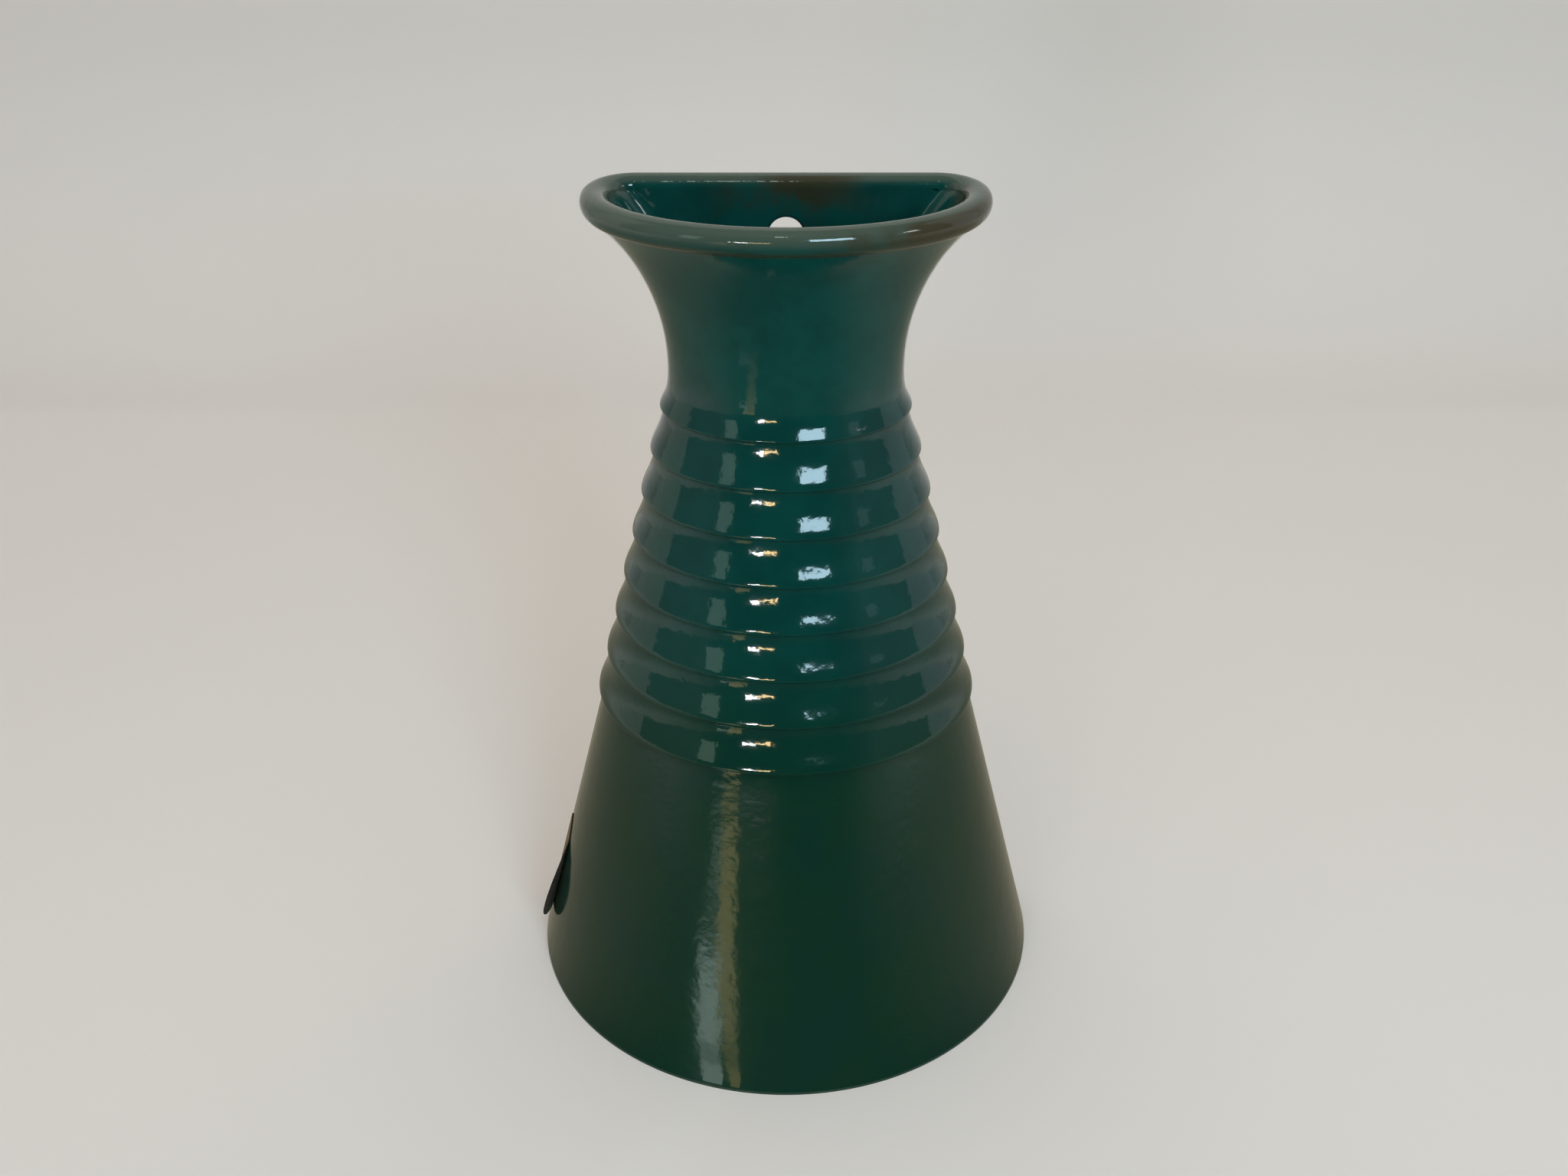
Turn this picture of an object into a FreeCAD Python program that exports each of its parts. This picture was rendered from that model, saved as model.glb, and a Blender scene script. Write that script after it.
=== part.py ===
import FreeCAD, Part
import math
import os

# Half-round wall vase of glazed clay. Millimetres. X runs across, the flat back faces +Y and Z is up.
# The origin is under the throwing axis, in the plane of the foot.

# Foot and skirt
foot_half_width = 74.0
skirt_top_height = 85.2
skirt_top_half_width = 52.2

# Neck, which starts where the ribs end
rib_count = 8
rib_pitch = 12.2
neck_height = skirt_top_height + rib_count * rib_pitch
neck_half_width = 30.8

# Throwing ribs, counted upwards: the lowest lip stands out from the skirt, the highest from the neck
lowest_lip_reach = 1.3
highest_lip_reach = 2.5
lowest_lip_half_width = skirt_top_half_width + lowest_lip_reach
highest_lip_half_width = neck_half_width + highest_lip_reach
undercut_height = 1.7
undercut_depth = 1.0
rib_steps = 4

# Flare
flare_height = 44.2
flare_power = 2.1
inner_flare_power = 2.2
flare_steps = 6

# Rolled edge of the mouth, to the middle of its round section
roll_height = neck_height + flare_height
roll_half_width = 48.0
roll_radius = 3.2
roll_corner_radius = 10.0

# The flare's outside ends inside the roll
flare_top_height = roll_height - roll_radius / 2
flare_top_half_width = roll_half_width + roll_radius / 4

# Depth of the round front as a share of the half width, at the foot and at the roll
foot_depth_share = 1.03
roll_depth_share = 0.73

# Flat back and its corners, which are cut flat this far behind the cut's plane
back_distance = 14.8
back_trim = 0.2
corner_inset = 7.0
inner_corner_inset = roll_corner_radius - roll_radius

# Clay: the wall thins towards the mouth, and its inside meets the roll this far within it
wall_thickness = 5.0
mouth_overlap = 0.4
base_thickness = 7.0
back_thickness = 2 * roll_radius

# Hang hole, this far below the middle of the roll
hang_hole_radius = 4.5
hang_hole_drop = 12.0
hang_hole_bevel = 0.6

# Blank sticker on the left flank: it leans back at the top, and its lower part has let go of the glaze
sticker_length = 34.0
sticker_width = 14.0
sticker_thickness = 0.3
sticker_centre_height = 21.0
sticker_centre_forward = 1.5
sticker_lean_degrees = 16.0
sticker_held_length = 10.0
sticker_lift = 2.8
sticker_steps = 6

# Cuts run past the clay by this much
overrun = 5.0


def quarter(start, corner, end):
    """A quarter of an ellipse from start to end, tangent to the lines that meet at corner."""
    curve = Part.BezierCurve()
    curve.setPoles([start, corner, end])
    curve.setWeight(2, math.sqrt(0.5))
    return curve.toShape()


def plan_wire(height, half_width, front_depth, rear_depth, inset):
    """The D-shaped plan at one height, starting at the middle of the round front."""
    def at(x, y):
        return FreeCAD.Vector(x, y, height)

    flat = half_width - inset
    edges = [
        quarter(at(0, -front_depth), at(half_width, -front_depth), at(half_width, 0)),
        quarter(at(half_width, 0), at(half_width, rear_depth), at(flat, rear_depth)),
        Part.LineSegment(at(flat, rear_depth), at(-flat, rear_depth)).toShape(),
        quarter(at(-flat, rear_depth), at(-half_width, rear_depth), at(-half_width, 0)),
        quarter(at(-half_width, 0), at(-half_width, -front_depth), at(0, -front_depth)),
    ]
    return Part.Wire(edges)


def depth_share(height):
    """The round front is deepest at the foot and grows shallower towards the mouth."""
    return foot_depth_share + (roll_depth_share - foot_depth_share) * height / roll_height


def body_wire(height, half_width, front_depth):
    """Outline of the clay's outside, before its back is cut flat."""
    return plan_wire(height, half_width, front_depth, back_distance + back_trim, corner_inset)


def outer_wire(height, half_width):
    return body_wire(height, half_width, depth_share(height) * half_width)


def inner_wire(height, half_width, wall):
    """Outline of the hollow beside an outside of this half width, one wall in from it."""
    front_depth = depth_share(height) * half_width - wall
    rear_depth = back_distance - back_thickness
    return plan_wire(height, half_width - wall, front_depth, rear_depth, inner_corner_inset)


def loft(wires, ruled):
    return Part.makeLoft(wires, True, ruled, False)


def lip_height(rib):
    return skirt_top_height + undercut_height + rib * rib_pitch


def lip_half_width(rib):
    rise = (highest_lip_half_width - lowest_lip_half_width) / (rib_count - 1)
    return lowest_lip_half_width + rib * rise


def rib_top(rib):
    """Height and half width where a rib ends: in the next rib's undercut, or in the neck."""
    if rib == rib_count - 1:
        return neck_height, neck_half_width
    return lip_height(rib + 1) - undercut_height, lip_half_width(rib + 1) - undercut_depth


def flare_half_width(height):
    """Outside of the flare, which goes straight up past its top."""
    share = min(1, (height - neck_height) / (flare_top_height - neck_height))
    return neck_half_width + (flare_top_half_width - neck_half_width) * share ** flare_power


def throat_half_width(height):
    """Inside of the flare, up to the middle of the roll."""
    start = neck_half_width - wall_thickness
    end = roll_half_width - roll_radius + mouth_overlap
    share = (height - neck_height) / (roll_height - neck_height)
    return start + (end - start) * share ** inner_flare_power


def skirt_wire(height, lift):
    """Outline of the straight skirt at a height between its ends, with its front and sides moved out by lift."""
    share = height / skirt_top_height
    half_width = foot_half_width + (skirt_top_half_width - foot_half_width) * share
    foot_depth = depth_share(0) * foot_half_width
    top_depth = depth_share(skirt_top_height) * skirt_top_half_width
    front_depth = foot_depth + (top_depth - foot_depth) * share
    return body_wire(height, half_width + lift, front_depth + lift)


def outside():
    """Everything inside the clay's outer face, from the foot to the middle of the roll."""
    zones = [loft([outer_wire(0, foot_half_width), outer_wire(skirt_top_height, skirt_top_half_width)], True)]
    groove = (skirt_top_height, skirt_top_half_width)
    for rib in range(rib_count):
        lip = (lip_height(rib), lip_half_width(rib))
        top = rib_top(rib)
        zones.append(loft([outer_wire(*groove), outer_wire(*lip)], True))
        wires = []
        for step in range(rib_steps + 1):
            share = step / rib_steps
            swell = math.cos(share * math.pi / 2) ** 2
            height = lip[0] + share * (top[0] - lip[0])
            wires.append(outer_wire(height, top[1] + swell * (lip[1] - top[1])))
        zones.append(loft(wires, False))
        groove = top
    wires = []
    for step in range(flare_steps + 1):
        height = neck_height + (flare_top_height - neck_height) * step / flare_steps
        wires.append(outer_wire(height, flare_half_width(height)))
    zones.append(loft(wires, False))
    ends = (flare_top_height, roll_height)
    zones.append(loft([outer_wire(height, flare_top_half_width) for height in ends], True))
    return zones[0].multiFuse(zones[1:]).removeSplitter()


def hollow():
    """The space inside the walls, from the plane of the foot to the middle of the roll."""
    top_groove = rib_top(rib_count - 2)
    lower = [
        inner_wire(0, foot_half_width, wall_thickness),
        inner_wire(skirt_top_height, skirt_top_half_width, wall_thickness),
        inner_wire(*top_groove, wall_thickness),
        inner_wire(neck_height, neck_half_width, wall_thickness),
    ]
    upper = []
    for step in range(flare_steps + 1):
        height = neck_height + (roll_height - neck_height) * step / flare_steps
        half_width = flare_half_width(height)
        upper.append(inner_wire(height, half_width, half_width - throat_half_width(height)))
    return loft(lower, True).fuse(loft(upper, False))


def arc(middle_x, middle_y, radius, first, last):
    """A level arc at the roll's height. Its angles start from the front and grow towards +X."""
    def at(angle):
        x = middle_x + radius * math.sin(angle)
        y = middle_y - radius * math.cos(angle)
        return FreeCAD.Vector(x, y, roll_height)

    return Part.Arc(at(first), at((first + last) / 2), at(last)).toShape()


def full_roll():
    """A round coil of clay that follows the mouth: an arch of three centres in front, and two round corners."""
    front_depth = depth_share(roll_height) * roll_half_width
    slant = math.hypot(roll_half_width, front_depth)
    near = (slant - roll_half_width + front_depth) / 2
    side_radius = near * slant / roll_half_width
    front_radius = (slant - near) * slant / front_depth
    side_x = roll_half_width - side_radius
    front_y = front_radius - front_depth
    turn = math.atan2(side_x, front_y)
    corner_x = roll_half_width - roll_corner_radius
    rear = back_distance - roll_radius
    corner_y = rear - roll_corner_radius

    def straight(x1, y1, x2, y2):
        ends = FreeCAD.Vector(x1, y1, roll_height), FreeCAD.Vector(x2, y2, roll_height)
        return Part.LineSegment(*ends).toShape()

    path = Part.Wire([
        arc(0, front_y, front_radius, 0, turn),
        arc(side_x, 0, side_radius, turn, math.pi / 2),
        straight(roll_half_width, 0, roll_half_width, corner_y),
        arc(corner_x, corner_y, roll_corner_radius, math.pi / 2, math.pi),
        straight(corner_x, rear, -corner_x, rear),
        arc(-corner_x, corner_y, roll_corner_radius, -math.pi, -math.pi / 2),
        straight(-roll_half_width, corner_y, -roll_half_width, 0),
        arc(-side_x, 0, side_radius, -math.pi / 2, -turn),
        arc(0, front_y, front_radius, -turn, 0),
    ])
    start = FreeCAD.Vector(0, -front_depth, roll_height)
    section = Part.Wire([Part.Circle(start, FreeCAD.Vector(1, 0, 0), roll_radius).toShape()])
    pipe = Part.BRepOffsetAPI.MakePipeShell(path)
    pipe.add(section)
    pipe.build()
    pipe.makeSolid()
    return pipe.shape()


def slab_space(depth, top):
    """The room behind the front face of the back slab, to the given depth and height."""
    reach = foot_half_width + overrun
    low = FreeCAD.Vector(-reach, back_distance - back_thickness, -overrun)
    return Part.makeBox(2 * reach, depth, top + overrun, low)


def hang_hole():
    axis = FreeCAD.Vector(0, 1, 0)
    front = back_distance - back_thickness
    height = roll_height - hang_hole_drop
    wide = hang_hole_radius + hang_hole_bevel
    hole = Part.makeCylinder(hang_hole_radius, back_thickness + 2 * overrun,
                             FreeCAD.Vector(0, front - overrun, height), axis)
    front_bevel = Part.makeCone(wide, hang_hole_radius, hang_hole_bevel,
                                FreeCAD.Vector(0, front, height), axis)
    back_bevel = Part.makeCone(hang_hole_radius, wide, hang_hole_bevel,
                               FreeCAD.Vector(0, back_distance - hang_hole_bevel, height), axis)
    return hole.multiFuse([front_bevel, back_bevel])


def sticker():
    """A thin oval that follows the flank of the skirt and swells away from it below its held end."""
    top = sticker_centre_height + sticker_length / 2
    held_bottom = top - sticker_held_length
    loose_length = sticker_length - sticker_held_length

    def wires(extra):
        found = [skirt_wire(top + overrun, extra)]
        for step in range(sticker_steps + 1):
            share = step / sticker_steps
            height = held_bottom - share * loose_length
            found.append(skirt_wire(height, extra + sticker_lift * share ** 2))
        return found

    skin = loft(wires(sticker_thickness), True).cut(loft(wires(0), True))
    centre = FreeCAD.Vector(0, -sticker_centre_forward, sticker_centre_height)
    lean = math.radians(sticker_lean_degrees)
    oval = Part.Ellipse(centre, sticker_length / 2, sticker_width / 2)
    oval.Axis = FreeCAD.Vector(-1, 0, 0)
    oval.XAxis = FreeCAD.Vector(0, math.sin(lean), math.cos(lean))
    face = Part.Face(Part.Wire([oval.toShape()]))
    reach = foot_half_width + overrun
    return skin.common(face.extrude(FreeCAD.Vector(-reach, 0, 0)))


def pieces():
    outer = outside()
    inside = hollow()
    roll = full_roll()
    slab_box = slab_space(back_thickness, roll_height)
    behind = slab_space(back_thickness + overrun, roll_height + overrun)
    floor_box = Part.makeBox(4 * foot_half_width, 4 * foot_half_width, base_thickness,
                             FreeCAD.Vector(-2 * foot_half_width, -2 * foot_half_width, 0))
    return {
        "base_slab": inside.common(floor_box),
        "front_shell": outer.cut(behind).cut(inside).cut(roll),
        "back_slab": outer.common(slab_box).fuse(roll.common(slab_box)).removeSplitter().cut(hang_hole()),
        "rim_roll": roll.cut(slab_box),
        "blank_sticker": sticker(),
    }


def write(name, shape):
    solids = shape.Solids
    part = solids[0] if len(solids) == 1 else Part.makeCompound(solids)
    part.exportStep(os.path.join("parts", name + ".step"))
    box = part.BoundBox
    print("%-14s %d solid, valid %s, %.1f cm3, Z %.1f to %.1f"
          % (name, len(solids), part.isValid(), part.Volume / 1000, box.ZMin, box.ZMax))


os.makedirs("parts", exist_ok=True)
for node, solid in pieces().items():
    write(node, solid)
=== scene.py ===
import math

import bpy
import numpy as np
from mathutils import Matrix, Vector


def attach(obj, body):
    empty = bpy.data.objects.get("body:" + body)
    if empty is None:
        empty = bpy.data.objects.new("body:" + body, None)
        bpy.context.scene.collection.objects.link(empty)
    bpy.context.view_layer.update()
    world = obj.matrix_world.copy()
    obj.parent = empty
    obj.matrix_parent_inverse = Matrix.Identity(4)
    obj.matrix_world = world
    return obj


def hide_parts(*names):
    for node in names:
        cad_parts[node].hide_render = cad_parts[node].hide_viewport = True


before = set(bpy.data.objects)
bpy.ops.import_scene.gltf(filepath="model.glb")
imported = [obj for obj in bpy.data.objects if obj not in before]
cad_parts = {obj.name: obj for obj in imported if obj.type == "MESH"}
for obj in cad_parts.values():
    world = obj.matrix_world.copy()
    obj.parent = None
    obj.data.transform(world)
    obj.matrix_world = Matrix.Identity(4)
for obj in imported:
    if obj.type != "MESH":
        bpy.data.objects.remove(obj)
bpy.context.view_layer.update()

# Sizes in millimetres, where _W is a half width, _Z a height and _Y a place from front to back
MM = 0.001
FOOT_W = 74.0
SKIRT_Z = 85.2
SKIRT_W = 52.2
NECK_W = 30.8
ROLL_W = 48.0
ROLL_R = 3.2
ROLL_CORNER = 10.0
BACK_Y = 14.8
CORNER = 7.0
WALL = 5.0
BASE_Z = 7.0

# Throwing ribs, each a lip over an undercut
RIBS = 8
PITCH = 12.2
LIP_LOW_W = 53.5
LIP_HIGH_W = 33.3
LIP_RISE = 1.7
UNDERCUT_Z = 0.3
UNDERCUT_W = 1.0
RIB_STEEPEST = 0.3
LAST_RIB_STEEPEST = 0.17
LAST_RIB_W = 31.1

LIP_Z = [SKIRT_Z + LIP_RISE + rib * PITCH for rib in range(RIBS)]

# Neck, flare and mouth
NECK_Z = SKIRT_Z + RIBS * PITCH
ROLL_Z = NECK_Z + 44.2
FLARE_TOP_Z = ROLL_Z - ROLL_R / 2
FLARE_TOP_W = ROLL_W + 0.2
FLARE_POWER = 2.15
THROAT_TOP_Z = 227.83
THROAT_TOP_W = 43.9
THROAT_POWER = 1.75

# Depth of the plan as a share of its half width
FOOT_SHARE = 1.03
ROLL_SHARE = 0.73

# Section of the roll: its reach inwards at the sides, the front's share of what that adds, and its drop
ROLL_INWARD = 4.2
FRONT_INWARD_SHARE = 0.25
ROLL_DOWN = 3.8

# Part of that section that shows, from its crease with the flare to its inner edge, in degrees
CREASE_ANGLE = -82.0
INNER_ANGLE = 165.0

# Back slab and its hang hole
SLAB_Y = BACK_Y - 2 * ROLL_R
INNER_CORNER = ROLL_CORNER - ROLL_R
HOLE_R = 4.5
HOLE_Z = ROLL_Z - 12.0
HOLE_ROUND = 0.9

# Blank sticker on the left flank, in its own plane: down along its length, and across towards the wall
STICKER_LENGTH = 32.5
STICKER_WIDTH = 14.0
STICKER_THICK = 0.3
STICKER_GAP = 0.02
STICKER_Y = -6.0
STICKER_Z = 24.0
STICKER_LEAN = math.radians(16)

# Line from which the sticker peels, by two places of its plane, and the curl beyond it
PEEL_FROM = (-15.0, -7.0)
PEEL_TO = (17.0, 4.5)
PEEL_CURL = 0.28
PEEL_POWER = 1.3

# Thickness of the glaze over lips and grooves, as the reach of a soft average
GLAZE_SOFT = 0.22
PROFILE_STEP = 0.05
SOFT_STEPS = 20
PROFILE_FROM_Z = -6.0
PROFILE_TO_Z = NECK_Z + 12.0
PROFILE_USED_Z = NECK_Z + 8

# Grid counts
FRONT_COLS = 130
SEAM_COLS = 6
CORNER_COLS = 9
BACK_COLS = 61
INNER_CORNER_COLS = 14
ROLL_STEPS = 26
FLARE_ROWS = 56
STICKER_RINGS = 12
STICKER_TURNS = 72
HOLE_EDGE_STEPS = 7

# Window that the flat grids leave for the hang hole, and the rings of faces that fill it
WINDOW_REACH = 9.0
WINDOW_COLS = 9
WINDOW_RINGS = (0, 0.35, 0.62, 0.82, 1.0)

# Materials of a clay piece
GLAZED, BARE = 0, 1


def depth_share(z):
    return FOOT_SHARE + (ROLL_SHARE - FOOT_SHARE) * z / ROLL_Z


def flare_half(z):
    share = np.clip((z - NECK_Z) / (FLARE_TOP_Z - NECK_Z), 0, 1)
    return NECK_W + (FLARE_TOP_W - NECK_W) * share ** FLARE_POWER


def rib_drop(q, b):
    """How far a rib has drawn in, from its lip at 0 to the next groove at 1. It is steepest at b."""
    return (1 - (1 + q / b) * np.exp(-q / b)) / (1 - (1 + 1 / b) * math.exp(-1 / b))


def sharp_profile(z):
    """Half width of the outside against height, with crisp lips and grooves."""
    w = FOOT_W + (SKIRT_W - FOOT_W) * z / SKIRT_Z
    draw_in = (LIP_HIGH_W - LIP_LOW_W) / (RIBS - 1)
    groove = (LIP_Z[0] - UNDERCUT_Z, SKIRT_W)
    for rib in range(RIBS):
        lip = (LIP_Z[rib], LIP_LOW_W + rib * draw_in)
        top = (lip[0] + PITCH - UNDERCUT_Z, lip[1] + draw_in - UNDERCUT_W)
        steepest = RIB_STEEPEST
        if rib == RIBS - 1:
            top = (NECK_Z, NECK_W)
            steepest = LAST_RIB_STEEPEST
        under = (z >= groove[0]) & (z < lip[0])
        w[under] = np.interp(z[under], [groove[0], lip[0]], [groove[1], lip[1]])
        over = (z >= lip[0]) & (z < top[0])
        w[over] = lip[1] + (top[1] - lip[1]) * rib_drop((z[over] - lip[0]) / (top[0] - lip[0]), steepest)
        groove = top
    flare = z >= NECK_Z
    w[flare] = flare_half(z[flare])
    return w


def soft_profile():
    """The profile's heights and half widths, softened as thick glaze softens them."""
    z = np.arange(PROFILE_FROM_Z, PROFILE_TO_Z, PROFILE_STEP)
    w = sharp_profile(z)
    reach = np.arange(-SOFT_STEPS, SOFT_STEPS + 1) * PROFILE_STEP
    kernel = np.exp(-0.5 * (reach / GLAZE_SOFT) ** 2)
    soft = np.convolve(w, kernel / kernel.sum(), mode="same")
    edge = len(reach)
    soft[:edge] = w[:edge]
    soft[-edge:] = w[-edge:]
    return z, soft


PROFILE_Z, PROFILE_W = soft_profile()


def outer_half(z):
    return np.where(z < PROFILE_USED_Z, np.interp(z, PROFILE_Z, PROFILE_W), flare_half(z))


def outer_depth(z):
    return depth_share(z) * outer_half(z)


def plain_half(z):
    """Half width of the outside with the ribs left out, which the inside follows."""
    low = np.interp(z, [0, SKIRT_Z, NECK_Z - PITCH, NECK_Z], [FOOT_W, SKIRT_W, LAST_RIB_W, NECK_W])
    return np.where(z < NECK_Z, low, flare_half(z))


def inner_half(z):
    share = np.clip((z - NECK_Z) / (THROAT_TOP_Z - NECK_Z), 0, None)
    throat = NECK_W - WALL + (THROAT_TOP_W - NECK_W + WALL) * share ** THROAT_POWER
    return np.where(z < NECK_Z, plain_half(z) - WALL, throat)


def inner_depth(z):
    return depth_share(z) * plain_half(z) - plain_half(z) + inner_half(z)


def ring_columns(front_corner, back_corner):
    """The columns of one closed ring, from the right seam round the front and along the flat back, and
    the number of them up to the left seam. Each is a pair of kind and value: an angle round a corner
    on the right or the left, an angle round the front, or a place along the flat."""
    cols = [("right", s) for s in front_corner[::-1][:-1]]
    cols += [("front", t) for t in np.linspace(90, -90, FRONT_COLS)]
    cols += [("left", s) for s in front_corner[1:]]
    seam = len(cols)
    cols += [("left", s) for s in back_corner[1:]]
    cols += [("flat", f) for f in np.linspace(-1, 1, BACK_COLS)[1:-1]]
    cols += [("right", s) for s in back_corner[::-1][:-1]]
    return cols, seam


def plan_point(col, half, depth, rear, inset):
    """Points of the D-shaped plan at one column. half and depth may be arrays, and so are the points."""
    kind, value = col
    if kind == "front":
        a = math.radians(value)
        return half * math.sin(a), -depth * math.cos(a)
    if kind == "flat":
        return (half - inset) * value, rear + 0 * half
    side = 1 if kind == "right" else -1
    s = math.radians(value)
    return side * (half - inset + inset * math.cos(s)), rear * math.sin(s) + 0 * half


def roll_frame(col):
    """The roll's middle line at a column, its outward direction, and how far round to the back it is."""
    kind, value = col
    depth = depth_share(ROLL_Z) * ROLL_W
    rear = BACK_Y - ROLL_R
    place = np.array(plan_point(col, ROLL_W, depth, rear, ROLL_CORNER))
    a = math.radians(value)
    if kind == "front":
        out = (math.sin(a) / ROLL_W, -math.cos(a) / depth)
        turn = 0.0
    elif kind == "flat":
        out = (0.0, 1.0)
        turn = 1.0
    else:
        side = 1 if kind == "right" else -1
        out = (side * math.cos(a) / ROLL_CORNER, math.sin(a) / rear)
        turn = value / 90
    return place, np.array(out) / math.hypot(*out), turn


def ease(t):
    return t * t * (3 - 2 * t)


def crease_angle(col):
    return CREASE_ANGLE * (1 - ease(roll_frame(col)[2]))


def inner_angle(col):
    return INNER_ANGLE + (180 - INNER_ANGLE) * ease(roll_frame(col)[2])


def roll_reach(col, angle):
    """Half width of the roll's section: round outwards, and drawn out inwards, most at the sides."""
    if abs(angle) < 90:
        return ROLL_R
    kind, value = col
    share = 1 - ease(roll_frame(col)[2])
    if kind == "front":
        share = FRONT_INWARD_SHARE + (1 - FRONT_INWARD_SHARE) * math.sin(math.radians(value)) ** 2
    return ROLL_R + (ROLL_INWARD - ROLL_R) * share


def roll_height(angle):
    return ROLL_R if angle > 0 else ROLL_DOWN


def roll_point(col, angle):
    place, out, _ = roll_frame(col)
    a = math.radians(angle)
    flat = place + roll_reach(col, angle) * math.cos(a) * out
    return np.array([flat[0], flat[1], ROLL_Z + roll_height(angle) * math.sin(a)])


def roll_normal(col, angle):
    _, out, _ = roll_frame(col)
    a = math.radians(angle)
    sideways = math.cos(a) * roll_height(angle) / roll_reach(col, angle)
    normal = np.array([out[0] * sideways, out[1] * sideways, math.sin(a)])
    return normal / np.linalg.norm(normal)


# Heights of the rows up to the neck: close at the foot, even up the skirt, and close again at each lip
FOOT_ROWS = [0, 0.25, 0.6, 1.0, 1.6]
SKIRT_ROWS = np.linspace(2.6, SKIRT_Z + 0.7, 40)
LIP_ROWS = np.linspace(-0.65, 0.65, 11)
RIB_ROWS = np.linspace(1.0, PITCH - 1.1, 18)
RIB_STEPS = np.concatenate([LIP_ROWS, RIB_ROWS])
LOW_Z = np.concatenate([FOOT_ROWS, SKIRT_ROWS, [NECK_Z], *[z + RIB_STEPS for z in LIP_Z]])
LOW_Z = np.unique(np.round(LOW_Z[LOW_Z <= NECK_Z], 4))

# Rows of the flare as shares of its height, and how late it bends over to meet the roll
FLARE_V = np.linspace(0, 1, FLARE_ROWS)[1:]
BEND_POWER = 8

# A row of the skirt, where the way out of the clay is plain
SKIRT_ROW = 40


def wall_grid(cols, half_of, depth_of, rear, inset, angle_of):
    """Rows of points from the foot up to the roll, with a column for each place of the plan. Each column
    ends on the roll's section, at the angle that angle_of gives."""
    grid = np.zeros((len(LOW_Z) + len(FLARE_V), len(cols), 3))
    bend = np.concatenate([0 * LOW_Z, FLARE_V ** BEND_POWER])
    for j, col in enumerate(cols):
        top = roll_point(col, angle_of(col))
        z = np.concatenate([LOW_Z, NECK_Z + (top[2] - NECK_Z) * FLARE_V])
        x, y = plan_point(col, half_of(z), depth_of(z), rear, inset)
        points = np.stack([x, y, z], axis=1)
        grid[:, j] = points + bend[:, None] * (top - points[-1])
    return grid


def grid_normals(grid, seam, toward_y):
    """Normals of a grid that is closed round its columns. Those of the front look along toward_y."""
    across = np.roll(grid, -1, axis=1) - np.roll(grid, 1, axis=1)
    n = np.cross(across, np.gradient(grid, axis=0))
    n /= np.linalg.norm(n, axis=2, keepdims=True)
    return n if n[SKIRT_ROW, seam // 2, 1] * toward_y > 0 else -n


# Both sides of the wall. The outer seam between shell and slab lies as deep as the slab's inner face
SEAM_ANGLE = math.degrees(math.asin(SLAB_Y / BACK_Y))
OUTER_COLS, OUTER_SEAM = ring_columns(np.linspace(0, SEAM_ANGLE, SEAM_COLS),
                                      np.linspace(SEAM_ANGLE, 90, CORNER_COLS))
INNER_COLS, INNER_SEAM = ring_columns(np.linspace(0, 90, INNER_CORNER_COLS), [90.0])
outer = wall_grid(OUTER_COLS, outer_half, outer_depth, BACK_Y, CORNER, crease_angle)
inner = wall_grid(INNER_COLS, inner_half, inner_depth, SLAB_Y, INNER_CORNER, inner_angle)
outer_n = grid_normals(outer, OUTER_SEAM, -1)
inner_n = grid_normals(inner, INNER_SEAM, 1)
inner_n[-1] = [roll_normal(col, inner_angle(col)) for col in INNER_COLS]


def mesh_object(name, points, faces):
    mesh = bpy.data.meshes.new(name)
    mesh.from_pydata(points, [], faces)
    obj = bpy.data.objects.new(name, mesh)
    bpy.context.scene.collection.objects.link(obj)
    return obj


def length_shares(line):
    """How far along a line each of its points lies, as a share of its length."""
    steps = np.linalg.norm(np.diff(line, axis=0), axis=1)
    along = np.concatenate([[0], np.cumsum(steps)])
    return along / along[-1]


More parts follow.
